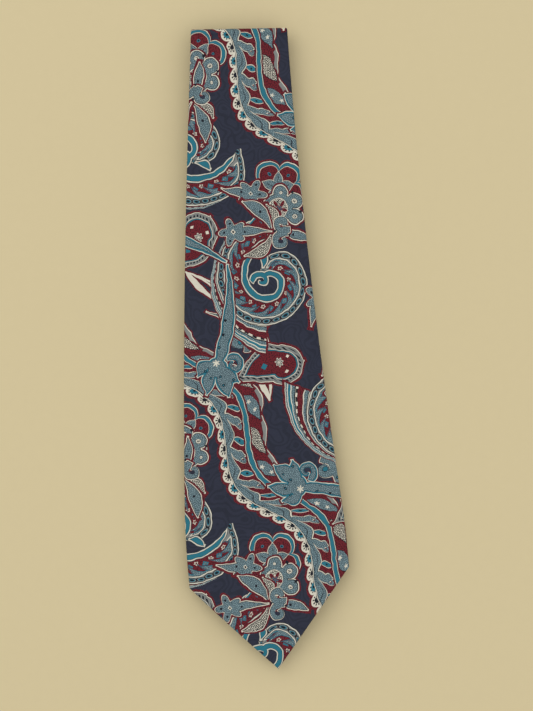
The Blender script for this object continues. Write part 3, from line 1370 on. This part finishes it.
class NECKTIE_OT_inner_silks(bpy.types.Operator):
    """Makes the silk of the three panels behind, with their bias seams"""

    bl_idname = "necktie.inner_silks"
    bl_label = "Inner panel silks"

    def execute(self, context):
        step = context.scene.necktie_sizes.grid / MM * 1.3

        def second_cloth(shift, rise):
            return lambda d: (CLOTH_SECOND + d - TOP_CENTRE + rise, shift)

        def third_cloth(shift, rise):
            return lambda d: (CLOTH_THIRD + BOTTOM_CENTRE - d + rise, shift)

        near = (0.8, 1.6, 2.6)
        join_up = [FRONT_JOIN - n for n in near]
        join_down = [FRONT_JOIN + n for n in near]
        pieces = [
            (
                "second_blade_silk", SECOND, spread(TOP_CENTRE, FRONT_JOIN, step, join_up),
                second_cloth(0, 0), (0, 1), "second_panel_blade_silk", 0.13, 0.26
            ),
            (
                "second_neck_silk", SECOND, spread(FRONT_JOIN, BOTTOM_CENTRE, step, join_down),
                second_cloth(37, 61), (1, 0), "second_panel_neck_silk", 0.09, 0.1
            ),
            (
                "third_neck_silk", THIRD,
                spread(TAIL_JOIN, BOTTOM_CENTRE, step, [TAIL_JOIN + n for n in near]), third_cloth(37, 61),
                (1, 0), "third_panel_neck_silk", 0.09, 0.18
            ),
            (
                "third_tail_silk", THIRD,
                spread(INNER_CENTRE, TAIL_JOIN, step, [TAIL_JOIN - n for n in near]), third_cloth(-23, 118),
                (0, 1), "third_panel_tail_silk", 0.1, 0.17
            ),
        ]
        for name, panel, depths, cloth, slants, node, width, length in pieces:
            piece = panel_silk(name, panel, depths, cloth, slants)
            dress(context, piece, "Printed silk twill", "printed_silk", node)
        ends = [TAIL_TIP - gap for gap in (0.15, 0.4, 0.8, 1.4, 2.4, 4.0)]
        drop = TAIL_TIP - HEM * math.sqrt(2)
        depths = spread(INNER_CENTRE, TAIL_TIP, step, [TAIL_APEX, TAIL_CORNER, drop] + ends)
        piece = panel_silk(
            "tail_silk_piece", TAIL, depths, lambda d: (CLOTH_TAIL + d - INNER_CENTRE + 118, -23)
        )
        dress(context, piece, "Printed silk twill", "printed_silk", "tail_silk")
        return {"FINISHED"}


class NECKTIE_OT_fold_silks(bpy.types.Operator):
    """Makes the silk of the three folds, which bends with them"""

    bl_idname = "necktie.fold_silks"
    bl_label = "Fold silks"

    def execute(self, context):
        for name, fold, start, shift, node, width in (
            ("top_fold_cloth", TOP, CLOTH_TOP, (0, 0), "top_fold_silk", 0.13),
            ("bottom_fold_cloth", BOTTOM, CLOTH_BOTTOM, (37, 61), "bottom_fold_silk", 0.09),
            ("inner_fold_cloth", INNER, CLOTH_INNER, (-23, 118), "inner_fold_silk", 0.1),
        ):
            piece = fold_silk(name, fold, start, shift)
            dress(context, piece, "Printed silk twill", "printed_silk", node)
            width * FOLD_FLAT * FOLD_SHARE
        return {"FINISHED"}


class NECKTIE_OT_interlinings(bpy.types.Operator):
    """Makes the wool interlining of each panel and fold"""

    bl_idname = "necktie.interlinings"
    bl_label = "Interlinings"

    def execute(self, context):
        for name, panel, end, node, flat in (
            ("wide_interlining", WIDE, FACE_LENGTH - 1.2, "wide_blade_interlining", (0.09, 0.37)),
            ("second_interlining", SECOND, BOTTOM_CENTRE, "second_panel_interlining", (0.046, 0.344)),
            ("third_interlining", THIRD, BOTTOM_CENTRE, "third_panel_interlining", (0.037, 0.343)),
            ("tail_interlining_piece", TAIL, TAIL_TIP - 1.2, "tail_interlining", (0.055, 0.31)),
        ):
            extras = [panel.corner] if panel.corner else []
            depths = spread(panel.top, end, 8.0, extras)
            piece = layer_piece(name, panel, depths, 1.05, 2.0, 1.4)
            dress(context, piece, "Wool interlining", "wool_interlining", node)
        for name, fold, node in (
            ("top_fold_wool", TOP, "top_fold_interlining"),
            ("bottom_fold_wool", BOTTOM, "bottom_fold_interlining"),
            ("inner_fold_wool", INNER, "inner_fold_interlining"),
        ):
            piece = layer_fold(name, fold, 1.05, 2.0, 1.4)
            dress(context, piece, "Wool interlining", "wool_interlining", node)
            radius = fold.inner + (1.05 if fold.front_out else TUBE - 1.05)
            wide, long = 2 * fold.half(0.5) * MM, math.pi * radius * MM
            wide * long
        return {"FINISHED"}


class NECKTIE_OT_tip_linings(bpy.types.Operator):
    """Makes the lining that shows where the back flaps part"""

    bl_idname = "necktie.tip_linings"
    bl_label = "Tip linings"

    def execute(self, context):
        for name, panel, node, flat in (
            ("wide_tip_lining", WIDE, "wide_blade_tipping", (0.093, 0.135)),
            ("tail_tip_lining", TAIL, "tail_tipping", (0.056, 0.103)),
        ):
            depths = spread(panel.apex - 14, panel.bottom - 1.2, 5.0, [panel.corner])
            piece = layer_piece(name, panel, depths, 0.81, 1.01, 1.2)
            dress(context, piece, "Tip lining", "lining", node)
        return {"FINISHED"}


class NECKTIE_OT_seam_stitches(bpy.types.Operator):
    """Makes the slip stitches of the back seam, the bar tacks and the bias seams' stitches"""

    bl_idname = "necktie.seam_stitches"
    bl_label = "Seam stitches"

    def execute(self, context):
        step = context.scene.necktie_sizes.stitch / MM
        covered = [(LABEL_DEPTH, 30), (KEEPER_DEPTH, 12), (CARE_DEPTH, 22)]
        for name, panel, bottom, hidden, node in (
            ("wide_slip_stitches", WIDE, WIDE_APEX, covered, "wide_blade_slip_stitches"),
            ("second_slip_stitches", SECOND, BOTTOM_CENTRE, [], "second_panel_slip_stitches"),
            ("third_slip_stitches", THIRD, BOTTOM_CENTRE, [], "third_panel_slip_stitches"),
            ("tail_slip_stitches_piece", TAIL, TAIL_APEX, [], "tail_slip_stitches"),
        ):
            stitches = []
            for i in range(int((bottom - panel.top) / step)):
                depth = panel.top + step * (i + 0.5)
                if all(abs(depth - middle) > tall / 2 + 4 for middle, tall in hidden):
                    stitches.append((depth, LAP_EDGE + 0.35, 0.22, 4.0, 0.42, 0.3, 9))
            piece = stitched(name, panel, stitches)
            dress(context, piece, "Sewing thread", "thread", node)
        for name, panel, node in (
            ("wide_bar_tack", WIDE, "wide_blade_bar_tack"),
            ("tail_bar_tack_piece", TAIL, "tail_bar_tack"),
        ):
            depth = panel.apex - 1.6
            middle = LAP_EDGE - 4.5
            stitches = [(depth + d, middle, -0.05, 0.5, 9.0, 0.3, 0) for d in (-0.4, 0.0, 0.4)]
            stitches += [(depth, middle - 4.2 + 0.42 * i, -0.12, 1.6, 0.4, 0.34, 4) for i in range(21)]
            piece = stitched(name, panel, stitches)
            dress(context, piece, "Sewing thread", "thread", node)
        for name, panel, depth, node in (
            ("front_bias_stitches", SECOND, FRONT_JOIN, "front_join_stitches"),
            ("tail_bias_stitches", THIRD, TAIL_JOIN, "tail_join_stitches"),
        ):
            reach = panel.half(depth) - 3
            places = [mixed(-reach, reach, i / 8) for i in range(9)]
            stitches = [(depth + x, x, 2.12, 2.4, 0.4, 0.16, -45) for x in places]
            piece = stitched(name, panel, stitches)
            dress(context, piece, "Sewing thread", "thread", node)
        return {"FINISHED"}


class NECKTIE_OT_keeper(bpy.types.Operator):
    """Makes the keeper loop across the back of the wide blade, with its stitches"""

    bl_idname = "necktie.keeper"
    bl_label = "Keeper loop"

    def execute(self, context):
        around, along = 20, 48

        def spot(i, j):
            share = mixed(-1, 1, j / along)
            x = 25.0 * share
            lift = eased(1 - abs(share), 0.0, 0.2)
            middle = mixed(0.06, -0.65, lift)
            angle = 2 * math.pi * i / around
            wide = 5.95 * math.copysign(abs(math.cos(angle)) ** 0.35, math.cos(angle))
            thick = 0.29 * math.copysign(abs(math.sin(angle)) ** 0.6, math.sin(angle))
            thick *= math.sqrt(max(1 - abs(share) ** 40, 0.0))
            bow = 0.12 * math.cos(share * math.pi / 2) * (1 - (wide / 5.95) ** 2)
            point = WIDE.place(KEEPER_DEPTH - wide, x, middle - thick - bow)
            return point, ((x + 60) * MM, (wide + 2.0 * angle) * MM)

        piece = grid_piece("keeper_band", around, along, spot, close=True)
        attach(piece, "wide_panel")
        dress(context, piece, "Printed silk twill", "printed_silk", "keeper_loop")
        tacks = []
        for side in (-1, 1):
            for end in (-1, 0, 1):
                tacks.append((KEEPER_DEPTH + end * 3.6, side * 22.6, -0.36, 0.5, 2.4, 0.3, 0))
                tacks.append((KEEPER_DEPTH + end * 3.6, side * 22.6, -0.38, 0.5, 2.4, 0.3, 35 * side))
        piece = stitched("keeper_tacks", WIDE, tacks)
        dress(context, piece, "Sewing thread", "thread", "keeper_stitches")
        return {"FINISHED"}


class NECKTIE_OT_labels(bpy.types.Operator):
    """Makes the two blank labels and the stitches at their corners"""

    bl_idname = "necktie.labels"
    bl_label = "Labels"

    def execute(self, context):
        for name, depth, wide, tall, finish, nodes in (
            (
                "maker_label_satin", LABEL_DEPTH, 58.0, 30.0, "Label satin",
                ("maker_label", "maker_label_stitches")
            ),
            (
                "care_label_satin", CARE_DEPTH, 18.0, 22.0, "Care label satin",
                ("care_label", "care_label_stitches")
            ),
        ):
            def spot(i, j):
                x, y = mixed(-wide / 2, wide / 2, i / 30), mixed(-tall / 2, tall / 2, j / 16)
                over_lap = eased(x, LAP_INNER - 5, LAP_INNER + 1) * eased(-x, -6, -2)
                near_edge = min(wide / 2 - abs(x), tall / 2 - abs(y))
                height = -0.22 * eased(near_edge, 0, 2.0) + 0.1 * (1 - over_lap)
                ripple = 0.05 * math.sin(x * 0.35 + y * 0.2)
                return WIDE.place(depth - y, x, height - 0.06 - ripple), (x * MM, y * MM)

            middle = WIDE.place(depth, 0, 0)
            piece = grid_piece(name, 30, 16, spot, (middle, Vector((0, 0, -1))))
            give_thickness(piece, 0.18)
            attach(piece, "wide_panel")
            dress(context, piece, finish, "label_satin", nodes[0])
            tacks = []
            for side in (-1, 1):
                for end in (-1, 1):
                    x, y = side * (wide / 2 - 2.4), end * (tall / 2 - 1.4)
                    tacks.append((depth + y, x, -0.26, 0.5, 2.4, 0.25, 0))
                    tacks.append((depth + y + 0.5 * end, x, -0.25, 0.45, 2.2, 0.25, 12 * side))
            stitches = stitched(name + "_tacks", WIDE, tacks)
            dress(context, stitches, "Sewing thread", "thread", nodes[1])
        return {"FINISHED"}


class NECKTIE_OT_stage(bpy.types.Operator):
    """Makes the plain floor, the soft light and the camera straight above"""

    bl_idname = "necktie.stage"
    bl_label = "Floor, light and camera"

    def execute(self, context):
        sizes = context.scene.necktie_sizes
        colours = context.scene.necktie_colours
        bm = bmesh.new()
        bmesh.ops.create_grid(bm, x_segments=1, y_segments=1, size=3.0)
        bmesh.ops.translate(bm, verts=bm.verts, vec=(0, 0, -0.0002))
        floor = finished("floor", bm)
        floor.data.materials.append(floor_material(tuple(colours.floor)))

        world = bpy.data.worlds.new("Soft room")
        context.scene.world = world
        world.use_nodes = True
        world.node_tree.nodes["Background"].inputs["Color"].default_value = (1, 1, 1, 1)
        world.node_tree.nodes["Background"].inputs["Strength"].default_value = sizes.daylight

        for name, place, size, power in (
            ("key", (-0.7, 0.9, 1.6), 1.6, 9.0),
            ("fill", (0.9, -0.5, 1.5), 1.8, 4.0),
        ):
            data = bpy.data.lights.new(name, "AREA")
            data.shape = "SQUARE"
            data.size = size
            data.energy = power
            light = bpy.data.objects.new(name, data)
            light.location = place
            light.rotation_mode = "QUATERNION"
            light.rotation_quaternion = Vector(place).to_track_quat("Z", "Y")
            context.scene.collection.objects.link(light)

        data = bpy.data.cameras.new("above")
        data.sensor_width = 36.0
        level = FRAME_BOX[1].z
        data.lens = 36.0 * sizes.camera_height / 0.4169
        data.clip_start, data.clip_end = 0.01, 20.0
        camera = bpy.data.objects.new("above", data)
        camera.location = (0.00663, -0.0047, level + sizes.camera_height)
        camera.rotation_mode = "XYZ"
        camera.rotation_euler = (0, 0, -math.radians(3.52))
        context.scene.collection.objects.link(camera)
        context.scene.camera = camera
        context.scene.view_settings.view_transform = "Standard"
        return {"FINISHED"}


class NECKTIE_PT_panel(bpy.types.Panel):
    """Lists the steps that make the tie"""

    bl_idname = "NECKTIE_PT_panel"
    bl_label = "Necktie"
    bl_space_type = "VIEW_3D"
    bl_region_type = "UI"
    bl_category = "Necktie"

    def draw(self, context):
        for settings in (context.scene.necktie_sizes, context.scene.necktie_colours):
            for name in settings.__annotations__:
                self.layout.prop(settings, name)
        for step in STEPS:
            self.layout.operator(step.bl_idname)


STEPS = (
    NECKTIE_OT_wide_silk,
    NECKTIE_OT_inner_silks,
    NECKTIE_OT_fold_silks,
    NECKTIE_OT_interlinings,
    NECKTIE_OT_tip_linings,
    NECKTIE_OT_seam_stitches,
    NECKTIE_OT_keeper,
    NECKTIE_OT_labels,
    NECKTIE_OT_stage,
)
CLASSES = (NecktieColours, NecktieSizes, *STEPS, NECKTIE_PT_panel)


def register():
    for made in CLASSES:
        bpy.utils.register_class(made)
    bpy.types.Scene.necktie_colours = bpy.props.PointerProperty(type=NecktieColours)
    bpy.types.Scene.necktie_sizes = bpy.props.PointerProperty(type=NecktieSizes)


def unregister():
    del bpy.types.Scene.necktie_sizes
    del bpy.types.Scene.necktie_colours
    for made in reversed(CLASSES):
        bpy.utils.unregister_class(made)


def main():
    register()
    for step in STEPS:
        group, name = step.bl_idname.split(".")
        getattr(getattr(bpy.ops, group), name)()


if __name__ == "__main__":
    main()
